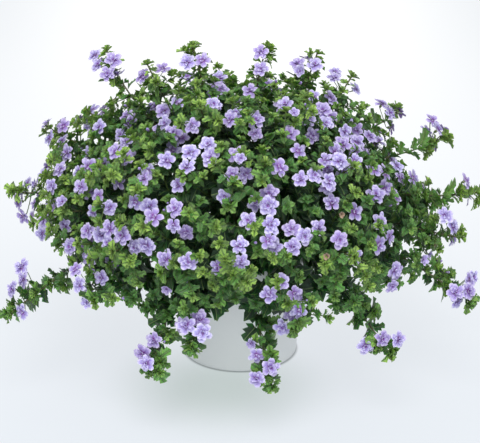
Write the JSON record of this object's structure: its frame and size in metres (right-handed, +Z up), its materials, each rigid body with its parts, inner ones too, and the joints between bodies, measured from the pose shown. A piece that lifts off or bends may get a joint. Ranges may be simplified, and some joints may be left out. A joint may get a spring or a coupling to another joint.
{
  "type": "potted bacopa",
  "caption": "Mounded, trailing bacopa with double lilac blooms and small toothed leaves, growing from soil in a plain round white pot with a slight taper",
  "frame": {"origin": "centre of the pot's flat underside, on the surface that the pot stands on", "axes": "+Z up through the pot's axis; -Y towards the camera; +X to the right as pictured, along the plant's greatest width"},
  "size_m": [0.4734, 0.4185, 0.3221],
  "materials": {
    "pot": "satin white, smooth",
    "soil": "dark, moist, crumbly peat",
    "foliage": "soft green leaves with a slight sheen, on thin green stems",
    "petals": "soft lilac petals, darker at the throat, with green tubes and stalks"
  },
  "bodies": {
    "root": {"pot": "pot", "potting_soil": "soil", "spray_01": "foliage", "spray_02": "foliage", "spray_03": "foliage", "spray_04": "foliage", "spray_05": "foliage", "spray_06": "foliage", "spray_07": "foliage", "spray_08": "foliage", "spray_09": "foliage", "spray_10": "foliage", "spray_11": "foliage", "spray_12": "foliage", "spray_13": "foliage", "spray_14": "foliage", "spray_15": "foliage", "spray_16": "foliage", "spray_17": "foliage", "spray_18": "foliage", "spray_19": "foliage", "spray_20": "foliage", "spray_21": "foliage", "spray_22": "foliage", "spray_23": "foliage", "spray_24": "foliage", "spray_25": "foliage", "spray_26": "foliage", "spray_27": "foliage", "spray_28": "foliage", "spray_29": "foliage", "spray_30": "foliage", "spray_31": "foliage", "spray_32": "foliage", "spray_33": "foliage", "spray_34": "foliage", "spray_35": "foliage", "spray_36": "foliage", "spray_37": "foliage", "spray_38": "foliage", "spray_39": "foliage"}
  },
  "joints": []
}
